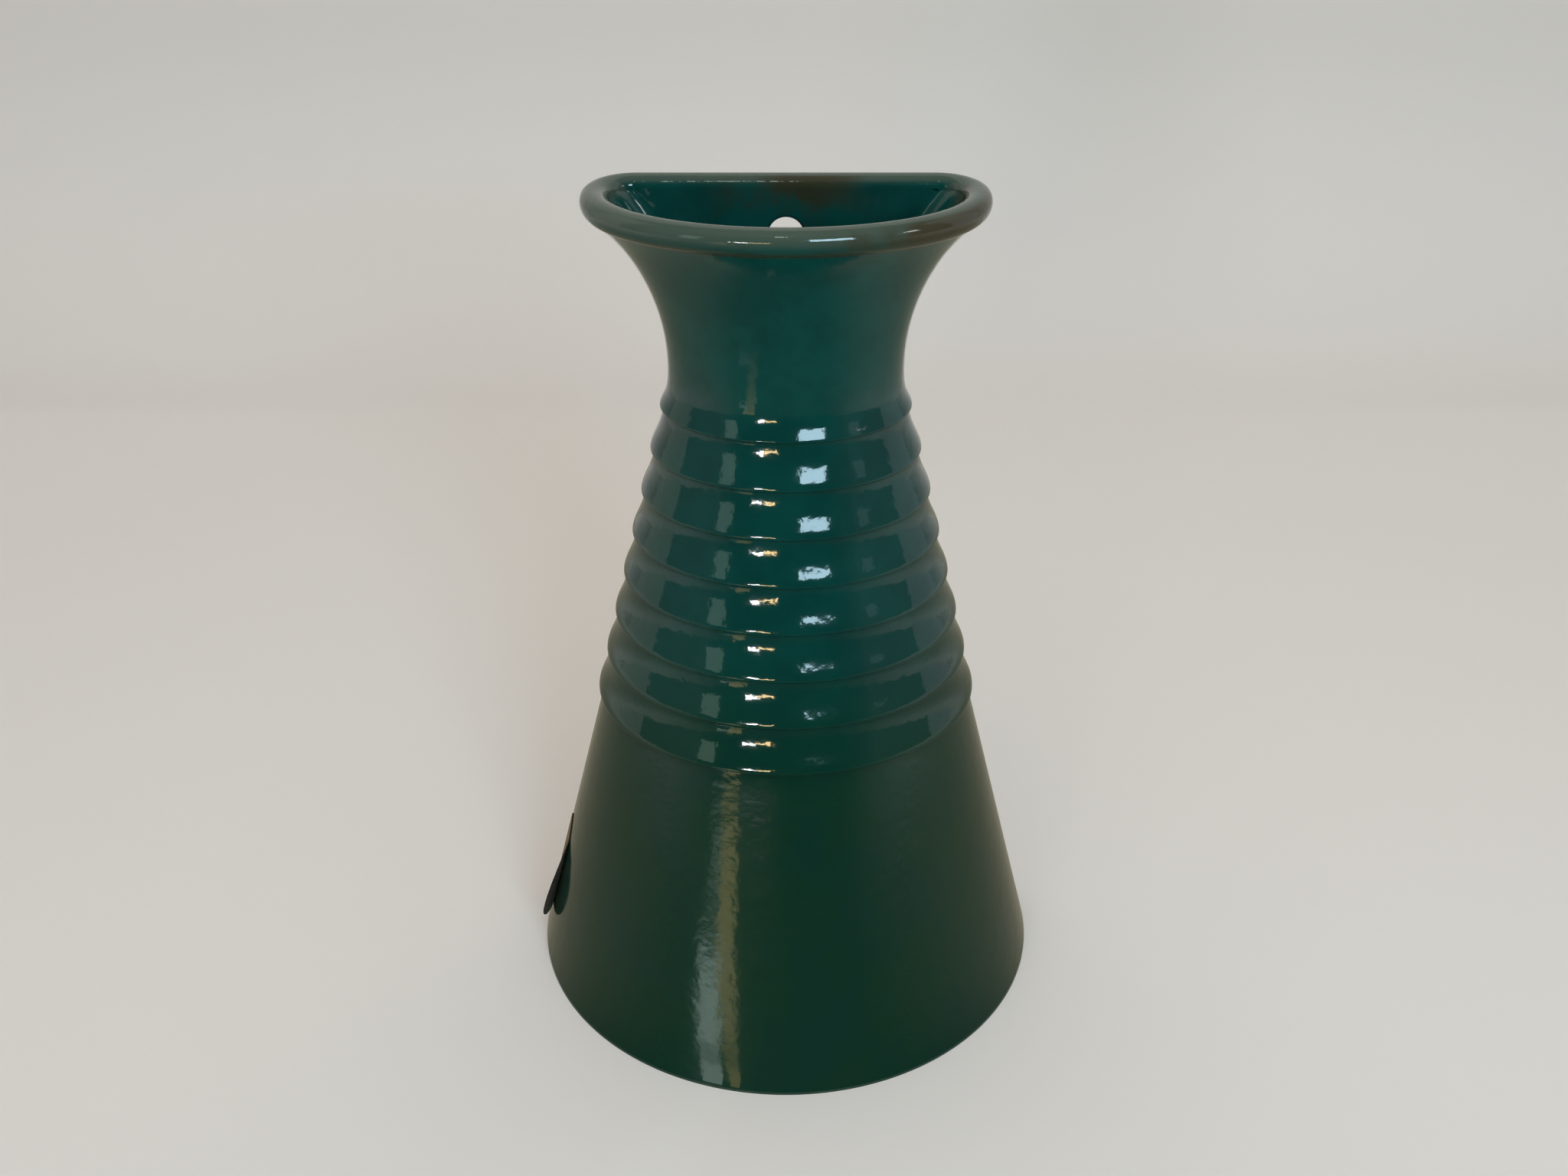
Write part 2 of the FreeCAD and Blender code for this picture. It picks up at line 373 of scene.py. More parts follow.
class Skin:
    """Gathers grids of points into one closed mesh whose face corners keep their own normals."""

    def __init__(self):
        self.points = []
        self.found = {}
        self.faces = []
        self.normals = []
        self.slots = []

    def point(self, p):
        """The number of a point, which all share that round to the same thousandth of a millimetre."""
        key = tuple(round(float(value), 3) for value in p)
        if key not in self.found:
            self.found[key] = len(self.points)
            self.points.append(p)
        return self.found[key]

    def face(self, corners, normals, slot):
        """Adds a face without its repeated corners, where three or more are left."""
        ids = [self.point(c) for c in corners]
        kept = [k for k in range(len(ids)) if ids[k] != ids[k - 1]]
        if len(kept) < 3 or len({ids[k] for k in kept}) < len(kept):
            return
        self.faces.append([ids[k] for k in kept])
        self.normals += [tuple(normals[k]) for k in kept]
        self.slots.append(slot)

    def quad(self, corners, normals, slot=GLAZED):
        """Adds a face of four corners, turned so that it looks along its normals."""
        a, b, c, d = corners
        if np.dot(np.cross(c - a, d - b), sum(normals)) < 0:
            corners, normals = corners[::-1], normals[::-1]
        self.face(corners, normals, slot)

    def grid(self, g, n, slot=GLAZED, skip=None):
        """Adds a grid of points g with normals n, but for the window skip of its rows and columns."""
        for i in range(g.shape[0] - 1):
            for j in range(g.shape[1] - 1):
                if skip and skip[0] <= i < skip[1] and skip[2] <= j < skip[3]:
                    continue
                ring = [(i, j), (i, j + 1), (i + 1, j + 1), (i + 1, j)]
                self.quad([g[r] for r in ring], [n[r] for r in ring], slot)

    def strip(self, a, b, normal):
        """A band of faces between two lines with the same count of points."""
        normal = np.array(normal, float)
        for k in range(len(a) - 1):
            self.quad([a[k], a[k + 1], b[k + 1], b[k]], [normal] * 4)

    def bridge(self, a, b, normal, slot):
        """A band of faces between two lines with different counts of points that run the same way."""
        share_a, share_b = length_shares(a), length_shares(b)
        normal = np.array(normal, float)
        band = []
        i = j = 0
        while i < len(a) - 1 or j < len(b) - 1:
            along_a = j == len(b) - 1 or (i < len(a) - 1 and share_a[i + 1] <= share_b[j + 1])
            if along_a:
                band.append([a[i], a[i + 1], b[j]])
                i += 1
            else:
                band.append([a[i], b[j + 1], b[j]])
                j += 1
        facing = sum(np.dot(np.cross(p[1] - p[0], p[2] - p[0]), normal) for p in band)
        for corners in band:
            self.face(corners if facing > 0 else corners[::-1], [normal] * 3, slot)

    def build(self, name, materials):
        obj = mesh_object(name, [tuple(np.array(p) * MM) for p in self.points], self.faces)
        mesh = obj.data
        for m in materials:
            mesh.materials.append(m)
        mesh.polygons.foreach_set("material_index", self.slots)
        mesh.polygons.foreach_set("use_smooth", [True] * len(self.faces))
        mesh.normals_split_custom_set(self.normals)
        mesh.update()
        return obj


class Nodes:
    """A new material and short hand for building its nodes."""

    def __init__(self, name):
        self.material = bpy.data.materials.new(name)
        self.material.use_nodes = True
        self.tree = self.material.node_tree
        self.tree.nodes.clear()

    def node(self, kind, inputs, **settings):
        """A new node, with its inputs linked to other sockets or set to values."""
        node = self.tree.nodes.new(kind)
        for key, value in settings.items():
            setattr(node, key, value)
        for key, value in inputs.items():
            if isinstance(value, bpy.types.NodeSocket):
                self.tree.links.new(value, node.inputs[key])
            else:
                node.inputs[key].default_value = value
        return node

    def math(self, operation, *values):
        return self.node("ShaderNodeMath", dict(enumerate(values)), operation=operation).outputs[0]

    def plus(self, a, b):
        return self.math("ADD", a, b)

    def minus(self, a, b):
        return self.math("SUBTRACT", a, b)

    def times(self, a, b):
        return self.math("MULTIPLY", a, b)

    def ramp(self, value, low, high, out_low=0.0, out_high=1.0):
        """Eases from out_low, at the value low, to out_high, at the value high."""
        inputs = dict(enumerate((value, low, high, out_low, out_high)))
        return self.node("ShaderNodeMapRange", inputs, interpolation_type="SMOOTHSTEP").outputs[0]

    def band(self, value, rise, fall):
        """One between a rise and a fall, each given by where it is zero and where it is one."""
        return self.times(self.ramp(value, *rise), self.ramp(value, *fall))

    def mix(self, factor, a, b):
        return self.node("ShaderNodeMix", {0: factor, 6: a, 7: b}, data_type="RGBA").outputs[2]

    def place(self):
        return self.node("ShaderNodeTexCoord", {}).outputs["Object"]

    def split(self, vector):
        return self.node("ShaderNodeSeparateXYZ", {0: vector}).outputs

    def stretch(self, vector, scale):
        return self.node("ShaderNodeMapping", {"Vector": vector, "Scale": scale}).outputs[0]

    def noise(self, vector, scale, detail=2.0, roughness=0.5):
        inputs = {"Vector": vector, "Scale": scale, "Detail": detail, "Roughness": roughness}
        return self.node("ShaderNodeTexNoise", inputs).outputs[0]

    def bump(self, height, strength, distance):
        inputs = {"Height": height, "Strength": strength, "Distance": distance}
        return self.node("ShaderNodeBump", inputs).outputs[0]

    def finish(self, kind, inputs):
        """Puts the last shader on the surface and returns the material."""
        shader = self.node(kind, inputs)
        self.node("ShaderNodeOutputMaterial", {0: shader.outputs[0]})
        return self.material


# Colours of the glaze
TEAL = (0.003, 0.056, 0.047, 1)
GREEN = (0.004, 0.030, 0.011, 1)
DEEP = (0.001, 0.026, 0.022, 1)
# Grey-green painted over the bead's upper half as a painted reflection of the bright surroundings
SHEEN_GREY_GREEN = (0.060, 0.082, 0.061, 1)
# Brown of the glaze's break, and of the painted shade in the bead's crease
BROWN = (0.040, 0.027, 0.009, 1)

# Colours of the bare clay: its ground, its grain and its paler blotches
CLAY = (0.42, 0.29, 0.2, 1)
CLAY_GRAIN = (0.27, 0.17, 0.11, 1)
CLAY_BLOTCH = (0.5, 0.37, 0.27, 1)

# Noises of the glaze: features to the metre, detail and roughness
BROAD_NOISE = (14.0, 3.0)
PATCHY_NOISE = (45.0, 4.0, 0.6)
RING_NOISE = (420.0, 3.0, 0.6)
PEEL_NOISE = (420.0, 2.0)
DIMPLE_NOISE = (170.0, 2.0, 0.6)

# Heights of the peel and the dimples beside each other, and the stretch that turns spots into rings
PEEL_HEIGHT = 0.55
DIMPLE_HEIGHT = 1.6
RING_STRETCH = (0.12, 0.12, 1.0)

# Where the glaze changes, and where the painted sheen and the painted crease shade of the bead lie, in
# metres or as a level of a noise.
# Each pair starts where the change is nil and ends where it is full. Two more numbers stand for what the
# change is worth at these ends
GREEN_Z = (0.155, 0.085)
DEEP_Z = (0.190, 0.165, 0.0, 0.35)
DEEP_PATCHES = (0.42, 0.62, 0.0, 0.4)
GREY_Z = (0.2256, 0.2292)
GREY_PATCHES = (0.3, 0.6, 0.6, 0.95)
BEFORE_SLAB_Y = (0.0082, 0.0070)
ABOVE_SLAB_Z = (0.2278, 0.2296)
BROWN_X = (0.014, 0.030)
BEAD_RISE_Z, BEAD_FALL_Z = (0.2228, 0.2250), (0.2304, 0.2290)
CREASE_RISE_Z, CREASE_FALL_Z = (0.2226, 0.2234), (0.2256, 0.2238)
FRONT_Y = (0.006, -0.004)
SLAB_PATCH_X = 0.0035
SLAB_PATCH_REACH = (0.024, 0.003)
SLAB_PATCH_Z = (0.2185, 0.2265)
SLAB_RISE_Y, SLAB_FALL_Y = (0.0070, 0.0080), (0.0110, 0.0095)
ROUGHNESS_Z = (0.080, 0.088, 0.13, 0.07)
RINGS_Z = (0.080, 0.09, 0.3, 0.1)

# How far the edges of the green, the grey and the brown wander with the noise, in metres
GREEN_WANDER = 0.04
GREY_WANDER = 0.002
BROWN_WANDER = 0.05
BROWN_WANDER_UP = 0.6 * BROWN_WANDER

# How far the roughness wanders with the noise
ROUGHNESS_WANDER = 0.05

# How brown the bead and the slab get where the glaze broke, and how strong the painted shade in the bead's
# crease is
BEAD_BROWN = 0.8
CREASE_SHADE_BROWN = 0.8
SLAB_BROWN = 0.75


def clay_cover(n, z, broad, patchy):
    """Teal above and green on the skirt, deeper in patches and from the ribs down."""
    green = n.ramp(n.plus(z, n.times(broad, GREEN_WANDER)), *GREEN_Z)
    colour = n.mix(green, TEAL, GREEN)
    colour = n.mix(n.ramp(patchy, *DEEP_PATCHES), colour, DEEP)
    return n.mix(n.ramp(z, *DEEP_Z), colour, DEEP)


def painted_sheen_share(n, y, z, broad, patchy):
    """Painted reflection: how grey the bead is painted on its upper half, which faces the bright
    surroundings, and not on the slab's inner face.
    """
    sheen_on_top = n.ramp(n.plus(z, n.times(patchy, GREY_WANDER)), *GREY_Z)
    off_slab = n.math("MAXIMUM", n.ramp(y, *BEFORE_SLAB_Y), n.ramp(z, *ABOVE_SLAB_Z))
    return n.times(n.times(sheen_on_top, off_slab), n.ramp(broad, *GREY_PATCHES))


def break_and_crease_shade(n, x, y, z, uneven):
    """How brown the glaze is: broken thin on the bead's right half and high on the slab, with a painted
    shade in brown along the bead's crease.
    """
    ragged_x = n.plus(x, n.times(uneven, BROWN_WANDER))
    ragged_z = n.plus(z, n.times(uneven, BROWN_WANDER_UP))
    in_front = n.ramp(y, *FRONT_Y)
    on_bead = n.times(n.ramp(ragged_x, *BROWN_X), n.band(z, BEAD_RISE_Z, BEAD_FALL_Z))
    # Painted shade: a brown line along the crease under the bead, in front
    painted_crease_shade = n.times(n.band(z, CREASE_RISE_Z, CREASE_FALL_Z), n.times(in_front, CREASE_SHADE_BROWN))
    bead = n.math("MAXIMUM", n.times(on_bead, in_front), painted_crease_shade)
    aside = n.math("ABSOLUTE", n.minus(ragged_x, SLAB_PATCH_X))
    patch = n.times(n.ramp(aside, *SLAB_PATCH_REACH), n.ramp(ragged_z, *SLAB_PATCH_Z))
    slab = n.times(patch, n.band(y, SLAB_RISE_Y, SLAB_FALL_Y))
    return n.math("MAXIMUM", n.times(bead, BEAD_BROWN), n.times(slab, SLAB_BROWN))


def glaze_height(n, place, z):
    """Fine unevenness of the surface: orange peel, dimples, and throwing rings that the skirt shows."""
    rings = n.noise(n.stretch(place, RING_STRETCH), *RING_NOISE)
    peel = n.noise(place, *PEEL_NOISE)
    dimples = n.noise(place, *DIMPLE_NOISE)
    height = n.plus(n.times(peel, PEEL_HEIGHT), n.times(dimples, DIMPLE_HEIGHT))
    return n.plus(height, n.times(rings, n.ramp(z, *RINGS_Z)))


def glaze_material():
    n = Nodes("glaze")
    place = n.place()
    x, y, z = n.split(place)
    broad = n.noise(place, *BROAD_NOISE)
    patchy = n.noise(place, *PATCHY_NOISE)
    uneven = n.minus(patchy, 0.5)
    colour = clay_cover(n, z, broad, patchy)
    # Painted reflection: grey-green over the bead's upper half
    colour = n.mix(painted_sheen_share(n, y, z, broad, patchy), colour, SHEEN_GREY_GREEN)
    # Brown where the glaze broke, and painted shade along the bead's crease
    colour = n.mix(break_and_crease_shade(n, x, y, z, uneven), colour, BROWN)
    rough = n.plus(n.ramp(z, *ROUGHNESS_Z), n.times(uneven, ROUGHNESS_WANDER))
    return n.finish("ShaderNodeBsdfPrincipled", {
        "Base Color": colour, "Roughness": rough, "IOR": 1.5,
        "Normal": n.bump(glaze_height(n, place, z), strength=0.3, distance=0.0002)})


def clay_material():
    n = Nodes("bare_clay")
    place = n.place()
    grain = n.noise(place, scale=700.0, detail=5.0, roughness=0.7)
    broad = n.noise(place, scale=25.0, detail=3.0)
    colour = n.mix(n.ramp(grain, 0.35, 0.7), CLAY, CLAY_GRAIN)
    colour = n.mix(n.ramp(broad, 0.45, 0.7, 0, 0.5), colour, CLAY_BLOTCH)
    return n.finish("ShaderNodeBsdfPrincipled", {
        "Base Color": colour, "Roughness": n.ramp(grain, 0.2, 0.8, 0.75, 0.95),
        "Normal": n.bump(grain, strength=0.5, distance=0.0003)})


def sheet_material(name, light, dark, roughness, grain_scale):
    """Thin sheet with fine fibres, from its light to its dark colour."""
    n = Nodes(name)
    place = n.place()
    fibre = n.noise(n.stretch(place, (1.0, 1.0, 0.25)), grain_scale, detail=4.0, roughness=0.65)
    blotch = n.noise(place, scale=160.0)
    colour = n.mix(n.ramp(n.times(n.plus(fibre, blotch), 0.5), 0.38, 0.62), light, dark)
    return n.finish("ShaderNodeBsdfPrincipled", {
        "Base Color": colour, "Specular IOR Level": 0.15,
        "Roughness": n.ramp(fibre, 0.3, 0.7, roughness - 0.08, roughness + 0.08),
        "Normal": n.bump(fibre, strength=0.4, distance=0.0001)})


glaze = glaze_material()
clay = clay_material()
paper = sheet_material("sticker", (0.22, 0.17, 0.10, 1), (0.15, 0.11, 0.06, 1), 0.45, 1500.0)
glue = sheet_material("sticker_back", (0.16, 0.14, 0.11, 1), (0.07, 0.06, 0.045, 1), 0.3, 900.0)
cut_edge = sheet_material("sticker_edge", (0.06, 0.038, 0.02, 1), (0.03, 0.018, 0.01, 1), 0.8, 2500.0)


def front_shell():
    """The thrown wall from seam to seam, bare on its foot."""
    skin = Skin()
    last_outer, last_inner = OUTER_SEAM - 1, INNER_SEAM - 1
    skin.grid(outer[:, :OUTER_SEAM], outer_n[:, :OUTER_SEAM])
    skin.grid(inner[:, :INNER_SEAM], inner_n[:, :INNER_SEAM])
    skin.strip(outer[:, 0], inner[:, 0], (0, 1, 0))
    skin.strip(outer[:, last_outer], inner[:, last_inner], (0, 1, 0))
    skin.bridge(outer[0, :OUTER_SEAM], inner[0, :INNER_SEAM], (0, 0, -1), BARE)
    skin.bridge(outer[-1, :OUTER_SEAM], inner[-1, :INNER_SEAM], (0, 0, 1), GLAZED)
    return skin.build("front_shell_glazed", [glaze, clay])


def from_seam_to_seam(g, seam):
    """The columns behind the seams, from the left one to the right one, where the ring closes."""
    return np.concatenate([g[:, seam - 1:], g[:, :1]], axis=1)


def window_border(g, rows, cols):
    """The points round the window that is left in a flat grid for the hang hole."""
    (i0, i1), (j0, j1) = rows, cols
    loop = [(i0, j) for j in range(j0, j1)] + [(i, j1) for i in range(i0, i1)]
    loop += [(i1, j) for j in range(j1, j0, -1)] + [(i, j0) for i in range(i1, i0, -1)]
    return np.array([g[k] for k in loop])


def hole_ring(angle, r, y, z):
    """A ring of points round the hang hole's axis, which is at the height z, or of normals with z at 0."""
    return np.stack([r * np.cos(angle), np.full(len(angle), y), z + r * np.sin(angle)], axis=1)


def hole_patch(skin, border, angle, face_y, toward):
    """Rings of faces from the window's border in to the hang hole's edge, with points at the angles."""
    edge = hole_ring(angle, HOLE_R + HOLE_ROUND, face_y, HOLE_Z)
    rings = [border + (edge - border) * share for share in WINDOW_RINGS]
    normal = np.array([0, toward, 0], float)
    for a, b in zip(rings, rings[1:]):
        for k in range(len(border)):
            m = (k + 1) % len(border)
            skin.quad([a[k], a[m], b[m], b[k]], [normal] * 4)


def hole_wall(skin, angle):
    """The hole's round edge in front, its wall and its round edge behind."""
    angle = np.sort(angle)
    angle = np.append(angle, angle[0])
    quarter = np.linspace(0, 90, HOLE_EDGE_STEPS)
    steps = [(SLAB_Y, 1, t) for t in quarter] + [(BACK_Y, -1, t) for t in quarter[::-1]]
    points, normals = [], []
    for face_y, inward, t in steps:
        a = math.radians(t)
        r = HOLE_R + HOLE_ROUND * (1 - math.sin(a))
        points.append(hole_ring(angle, r, face_y + inward * HOLE_ROUND * (1 - math.cos(a)), HOLE_Z))
        normals.append(hole_ring(angle, -math.sin(a), -inward * math.cos(a), 0))
    skin.grid(np.array(points), np.array(normals))


def slab_side(skin, side, normals):
    """Adds one side of the slab but for the hang hole's window, and returns the window's border."""
    middle = side.shape[1] // 2
    heights = side[:, middle, 2]
    rows = [int(np.argmin(abs(heights - z))) for z in (HOLE_Z - WINDOW_REACH, HOLE_Z + WINDOW_REACH)]
    cols = [middle - WINDOW_COLS, middle + WINDOW_COLS]
    skin.grid(side, normals, skip=rows + cols)
    return window_border(side, rows, cols)


def back_slab():
    """The flat back with its hang hole, bare on its foot."""
    skin = Skin()
    back = from_seam_to_seam(outer, OUTER_SEAM)
    face = from_seam_to_seam(inner, INNER_SEAM)
    back_border = slab_side(skin, back, from_seam_to_seam(outer_n, OUTER_SEAM))
    face_border = slab_side(skin, face, from_seam_to_seam(inner_n, INNER_SEAM))
    angle = np.arctan2(back_border[:, 2] - HOLE_Z, back_border[:, 0])
    hole_patch(skin, back_border, angle, BACK_Y, 1)
    hole_patch(skin, face_border, angle, SLAB_Y, -1)
    hole_wall(skin, angle)
    skin.strip(back[:, 0], face[:, 0], (0, -1, 0))
    skin.strip(back[:, -1], face[:, -1], (0, -1, 0))
    skin.bridge(back[0], face[0], (0, 0, -1), BARE)
    skin.bridge(back[-1], face[-1], (0, 0, 1), GLAZED)
    return skin.build("back_slab_glazed", [glaze, clay])


def rim_roll():
    """The bead round the mouth, closed underneath where it sits on the wall."""
    cols = OUTER_COLS + OUTER_COLS[:1]
    points = np.zeros((ROLL_STEPS + 1, len(cols), 3))
    normals = np.zeros_like(points)
    for j, col in enumerate(cols):
        for i, angle in enumerate(np.linspace(crease_angle(col), inner_angle(col), ROLL_STEPS + 1)):
            points[i, j] = roll_point(col, angle)
            normals[i, j] = roll_normal(col, angle)
    skin = Skin()
    skin.grid(points, normals)
    under = np.stack([points[0], points[-1]])
    skin.grid(under, np.broadcast_to(np.array([0, 0, -1.0]), under.shape))
    return skin.build("rim_roll_glazed", [glaze])


def base_slab():
    """The floor inside the walls, glazed above and bare below."""
    skin = Skin()
    low = inner[0, :INNER_SEAM]
    half, depth = inner_half(BASE_Z), inner_depth(BASE_Z)
    plan = [plan_point(col, half, depth, SLAB_Y, INNER_CORNER) for col in INNER_COLS[:INNER_SEAM]]
    high = np.array([(x, y, BASE_Z) for x, y in plan], float)
    side = np.stack([low, high])
    side_n = side * (1, 1, 0)
    side_n /= np.linalg.norm(side_n, axis=2, keepdims=True)
    skin.grid(side, side_n)
    skin.quad([low[0], low[-1], high[-1], high[0]], [np.array([0, 1.0, 0])] * 4)
    for ring, facing, slot in ((low, -1.0, BARE), (high, 1.0, GLAZED)):
        mirror = ring[::-1]
        normal = np.array([0, 0, facing])
        for k in range(len(ring) // 2):
            skin.quad([ring[k], ring[k + 1], mirror[k + 1], mirror[k]], [normal] * 4, slot)
    return skin.build("base_slab_clay", [glaze, clay])


def flank_point(y, z):
    """A point of the left flank and the way out of the clay there."""
    def at(y, z):
        half = float(outer_half(z))
        if y < 0:
            return np.array([-half * math.sqrt(1 - (y / (depth_share(z) * half)) ** 2), y, z])
        return np.array([-(half - CORNER + CORNER * math.sqrt(1 - (y / BACK_Y) ** 2)), y, z])

    step = 0.5
    n = np.cross(at(y, z + step) - at(y, z - step), at(y + step, z) - at(y - step, z))
    n /= np.linalg.norm(n)
    return at(y, z), n if n[0] < 0 else -n


def peel_lift(down, across):
    """How far the sticker stands off the glaze, at a place of its plane."""
    dx, dy = PEEL_TO[0] - PEEL_FROM[0], PEEL_TO[1] - PEEL_FROM[1]
    away = ((down - PEEL_FROM[0]) * dy - (across - PEEL_FROM[1]) * dx) / math.hypot(dx, dy)
    return PEEL_CURL * max(0, away) ** PEEL_POWER


def sticker_sheet(raise_by):
    """Rings of points over the oval, from its middle out, at a height over the glaze."""
    g = np.zeros((STICKER_RINGS + 1, STICKER_TURNS + 1, 3))
    for i, j in np.ndindex(g.shape[:2]):
        angle = 2 * math.pi * (j % STICKER_TURNS) / STICKER_TURNS
        down = STICKER_LENGTH / 2 * i / STICKER_RINGS * math.cos(angle)
        across = STICKER_WIDTH / 2 * i / STICKER_RINGS * math.sin(angle)
        y = STICKER_Y - down * math.sin(STICKER_LEAN) + across * math.cos(STICKER_LEAN)
        z = STICKER_Z - down * math.cos(STICKER_LEAN) - across * math.sin(STICKER_LEAN)
        p, n = flank_point(y, z)
        g[i, j] = p + n * (peel_lift(down, across) + raise_by)
    return g


def sheet_normals(g):
    """Normals of the sheet, out of the clay."""
    n = np.cross(np.gradient(g, axis=0), np.roll(g, -1, axis=1) - np.roll(g, 1, axis=1))
    n[:, 0] = n[:, -1] = np.cross(np.gradient(g, axis=0)[:, 0], g[:, 1] - g[:, -2])
    n[0] = n[1].mean(axis=0)
    n /= np.linalg.norm(n, axis=2, keepdims=True)
    return n if n[0, 0, 0] < 0 else -n


def blank_sticker():
    """The peeling oval label: its face, its back and its cut edge."""
    low, high = sticker_sheet(STICKER_GAP), sticker_sheet(STICKER_GAP + STICKER_THICK)
    face, back, edge = range(3)
    skin = Skin()
    skin.grid(high, sheet_normals(high), face)
    skin.grid(low, -sheet_normals(low), back)
    rim = np.stack([low[-1], high[-1]])
    out = np.repeat((low[-1] - low[0, 0])[None], 2, axis=0)
    skin.grid(rim, out / np.linalg.norm(out, axis=2, keepdims=True), edge)
    return skin.build("blank_sticker_paper", [paper, glue, cut_edge])


def put(piece, node):
    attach(piece, "root")
    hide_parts(node)


put(front_shell(), "front_shell")
put(back_slab(), "back_slab")
put(rim_roll(), "rim_roll")
put(base_slab(), "base_slab")
put(blank_sticker(), "blank_sticker")

# Studio, in metres: the floor that bends up into the backdrop, and the places of its cards and lamps
STAGE_FRONT_Y, STAGE_BEND_Y = -1.6, 0.42
STAGE_HALF, STAGE_TOP_Z = 1.8, 1.8
BEND_R = 0.16
BEND_STEPS = 12
CARD_LIFT = 0.0006
FLOOR_X, FLOOR_Y = (-1.6, 1.6), (0.4, STAGE_FRONT_Y)
FRONT_X, FRONT_Z = (-1.7, 1.7), (CARD_LIFT, 2.2)
SIDE_X, SIDE_Y, SIDE_Z = 0.9, (-0.08, 0.42), (0.02, 1.3)
LAMP_DISTANCE = 1.4
PANEL_DISTANCE = 1.3
RIBS_PLACE = (0, -0.04, 0.14)


def floor_and_backdrop():
    rows = [(STAGE_FRONT_Y, 0.0), (STAGE_BEND_Y, 0.0)]
    for k in range(1, BEND_STEPS + 1):
        a = math.radians(90 * k / BEND_STEPS)
        rows.append((STAGE_BEND_Y + BEND_R * math.sin(a), BEND_R - BEND_R * math.cos(a)))
    rows.append((STAGE_BEND_Y + BEND_R, STAGE_TOP_Z))
    points = [(x, y, z) for y, z in rows for x in (-STAGE_HALF, STAGE_HALF)]
    faces = [(k, k + 1, k + 3, k + 2) for k in range(0, len(points) - 2, 2)]
    obj = mesh_object("floor", points, faces)
    obj.data.polygons.foreach_set("use_smooth", [True] * len(faces))
    obj.data.materials.append(Nodes("floor").finish("ShaderNodeBsdfPrincipled", {
        "Base Color": (0.72, 0.68, 0.64, 1), "Roughness": 0.75}))


def card(name, corners, colour, strength=1.0):
    """Studio cards that only the gloss sees, four corners each. Their colour is a value or a function
    that builds it from nodes."""
    obj = mesh_object(name, corners, [tuple(range(k, k + 4)) for k in range(0, len(corners), 4)])
    n = Nodes(name)
    shown = colour(n) if callable(colour) else colour
    obj.data.materials.append(n.finish("ShaderNodeEmission", {"Color": shown, "Strength": strength}))
    obj.visible_camera = False
    obj.visible_diffuse = False
    obj.visible_shadow = False


# Where the cards go from dark to pale, in radians from the front, and from pale to paler, in metres
PALE_ASIDE = (0.4, 1.4)
PALE_REACH = (0.3, 0.75)


def dark_ahead(n, dark, pale, far_pale):
    """Dark in front of the vase, and pale towards its sides and more so far out, with no edge between."""
    x, y, z = n.split(n.place())
    aside = n.math("ARCTAN2", n.math("ABSOLUTE", x), n.times(y, -1.0))
    reach = n.math("SQRT", n.plus(n.times(x, x), n.times(y, y)))
    return n.mix(n.ramp(aside, *PALE_ASIDE), dark, n.mix(n.ramp(reach, *PALE_REACH), pale, far_pale))


def floor_colour(n):
    return dark_ahead(n, (0.07, 0.062, 0.042, 1), (0.33, 0.30, 0.22, 1), (0.66, 0.64, 0.58, 1))


def front_colour(n):
    return dark_ahead(n, (0.012, 0.016, 0.016, 1), (0.3, 0.3, 0.3, 1), (0.3, 0.3, 0.3, 1))


def upright(name, start_y, first, last, low, high, colour, strength):
    """A bright upright panel between two directions from start_y, counted to the right from the front."""
    corners = []
    for azimuth, z in around((first, last), (low, high)):
        a = math.radians(azimuth)
        corners.append((PANEL_DISTANCE * math.sin(a), start_y - PANEL_DISTANCE * math.cos(a), z))
    card(name, corners, colour, strength)


# Panels of a fence and their caps, in metres, and the distance over which its edges turn
PANEL_LOW_Z, PANEL_HIGH_Z, CAP_Z = 0.0008, 0.0038, 0.0040
CAP_DEPTH = 0.0040
FIRST_CAP = 0.015
TURN_REACH = 0.3
CAP_COLOUR = (0.10, 0.09, 0.065, 1)

# Slope of the skirt's look down at a fence: far out, what the foot adds to it, and how soon that fades
SLOPE_FAR = 0.09
SLOPE_ADDED = 0.19
SLOPE_REACH = 0.3
OVERLAP = 0.95


def edge_place(edge, reach, distance):
    """A place on the ground along one edge of a fence, whose direction turns with the reach."""
    x, y, near_azimuth, far_azimuth = edge
    a = math.radians(near_azimuth + (far_azimuth - near_azimuth) * min(1, reach / TURN_REACH))
    return x + distance * math.sin(a), y - distance * math.cos(a)


def panel_spacing(reach):
    """How far a panel hides the ground behind it from the skirt, which looks down on it less far out."""
    slope = SLOPE_FAR + SLOPE_ADDED * math.exp(-reach / SLOPE_REACH)
    return OVERLAP * (PANEL_HIGH_Z - PANEL_LOW_Z) / slope


def fence(name, left, right, near, far, colour, strength):
    """Low bright panels one behind another, each under a dark cap. The skirt, which looks out from
    low down, shows a full streak, and the neck, which looks down on the caps, shows none. left and
    right are the streak's edges: where each starts, and its direction near the foot and far from it."""
    panels, caps = [], []
    reach = near
    while reach < far:
        back_left, back_right = (edge_place(edge, reach, reach - CAP_DEPTH) for edge in (left, right))
        end_left, end_right = (edge_place(edge, reach, reach) for edge in (left, right))
        panels += [(*end_left, PANEL_LOW_Z), (*end_right, PANEL_LOW_Z),
                   (*end_right, PANEL_HIGH_Z), (*end_left, PANEL_HIGH_Z)]
        if reach > FIRST_CAP:
            caps += [(*place, CAP_Z) for place in (back_left, back_right, end_right, end_left)]
        reach += panel_spacing(reach)
    card(name, panels, colour, strength)
    card(name + "_caps", caps, CAP_COLOUR)


def around(first, second):
    """The corners of a rectangle over two ranges, in their order round it."""
    return [(first[0], second[0]), (first[1], second[0]), (first[1], second[1]), (first[0], second[1])]


